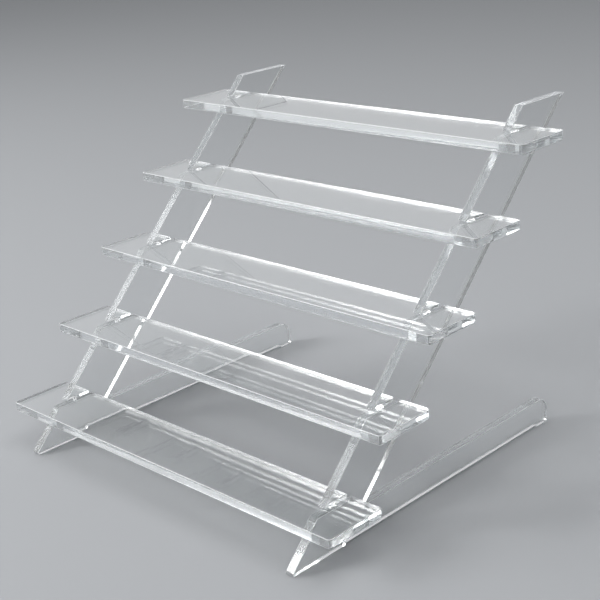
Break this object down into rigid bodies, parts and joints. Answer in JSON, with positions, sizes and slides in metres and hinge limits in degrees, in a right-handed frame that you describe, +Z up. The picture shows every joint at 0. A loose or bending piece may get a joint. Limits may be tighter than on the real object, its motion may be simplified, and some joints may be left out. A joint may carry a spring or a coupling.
{
  "type": "tiered shelf riser",
  "caption": "Clear acrylic tiered display riser: narrow shelves lapped into two leaning side panels with long foot bars.",
  "frame": {"origin": "on the floor, under the middle of the overall box", "axes": "+X along the shelves, +Y from the front toes to the back, +Z up"},
  "size_m": [0.3, 0.2638, 0.222],
  "materials": {
    "side_panel": "clear cast acrylic sheet, polished faces, laser-cut glossy edges",
    "shelf": "clear cast acrylic sheet, polished faces, laser-cut glossy edges"
  },
  "bodies": {
    "side_panels": {"left_side_panel": "side_panel", "right_side_panel": "side_panel"},
    "shelf_1": {"shelf_1": "shelf"},
    "shelf_2": {"shelf_2": "shelf"},
    "shelf_3": {"shelf_3": "shelf"},
    "shelf_4": {"shelf_4": "shelf"},
    "shelf_5": {"shelf_5": "shelf"}
  },
  "joints": [
    {"name": "shelf_1_slide", "type": "slide", "parent": "side_panels", "child": "shelf_1", "axis": [0, -1, 0], "range_m": [0, 0.03]},
    {"name": "shelf_2_slide", "type": "slide", "parent": "side_panels", "child": "shelf_2", "axis": [0, -1, 0], "range_m": [0, 0.03]},
    {"name": "shelf_3_slide", "type": "slide", "parent": "side_panels", "child": "shelf_3", "axis": [0, -1, 0], "range_m": [0, 0.03]},
    {"name": "shelf_4_slide", "type": "slide", "parent": "side_panels", "child": "shelf_4", "axis": [0, -1, 0], "range_m": [0, 0.03]},
    {"name": "shelf_5_slide", "type": "slide", "parent": "side_panels", "child": "shelf_5", "axis": [0, -1, 0], "range_m": [0, 0.03]}
  ]
}
